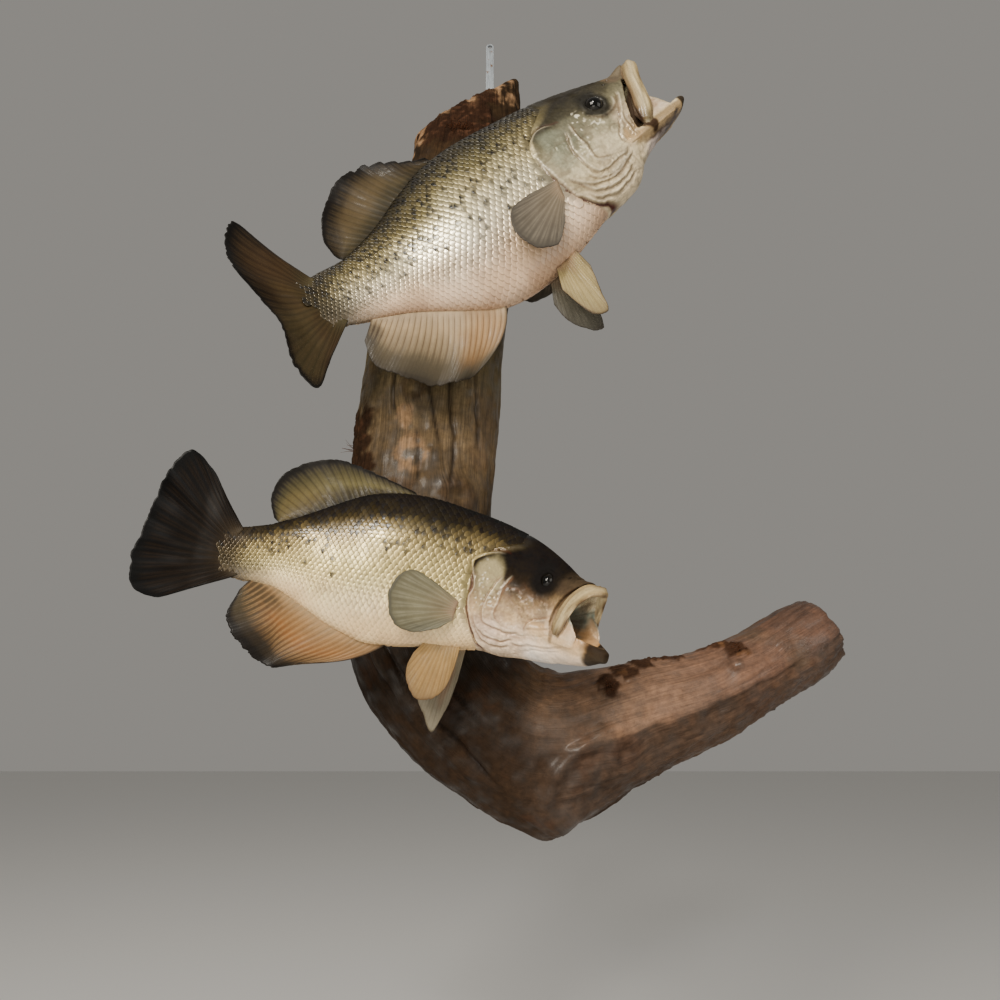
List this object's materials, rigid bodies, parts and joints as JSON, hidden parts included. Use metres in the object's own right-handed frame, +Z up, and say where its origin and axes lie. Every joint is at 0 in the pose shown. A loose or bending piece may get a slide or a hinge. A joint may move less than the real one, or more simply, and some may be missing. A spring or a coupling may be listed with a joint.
{
  "type": "mounted trophy fish",
  "caption": "Mounted trophy fish: crappies with open mouths, fixed one above the other on an upright driftwood limb with a side branch, hung on a wall by a steel strap.",
  "frame": {"origin": "the eye of the hanger strap, on the wall plane", "axes": "+Z up, +Y into the wall, +X the way both fish look; the mount stands out towards -Y"},
  "size_m": [0.4518, 0.1663, 0.696],
  "materials": {
    "fish_skin": "varnished scaled skin, olive back, silver flanks, cream belly",
    "jaw_skin": "varnished cream-tan skin over jaw bone",
    "fin_web": "varnished, rayed, dark at the margins",
    "eye_glass": "glossy black glass eye",
    "driftwood": "varnished weathered driftwood",
    "hanger_steel": "zinc-grey steel"
  },
  "bodies": {
    "root": {"head": "fish_skin", "trunk": "fish_skin", "tail_stem": "fish_skin", "upper_jaw": "jaw_skin", "lower_jaw": "jaw_skin", "gill_cover_left": "fish_skin", "gill_cover_right": "fish_skin", "eye_left": "eye_glass", "eye_right": "eye_glass", "dorsal_fin": "fin_web", "anal_fin": "fin_web", "caudal_fin": "fin_web", "pectoral_fin_left": "fin_web", "pectoral_fin_right": "fin_web", "pelvic_fin_left": "fin_web", "pelvic_fin_right": "fin_web", "second_fish": "fish_skin", "driftwood": "driftwood", "hanger_strap": "hanger_steel", "hanger_screw_1": "hanger_steel", "hanger_screw_2": "hanger_steel"}
  },
  "joints": []
}
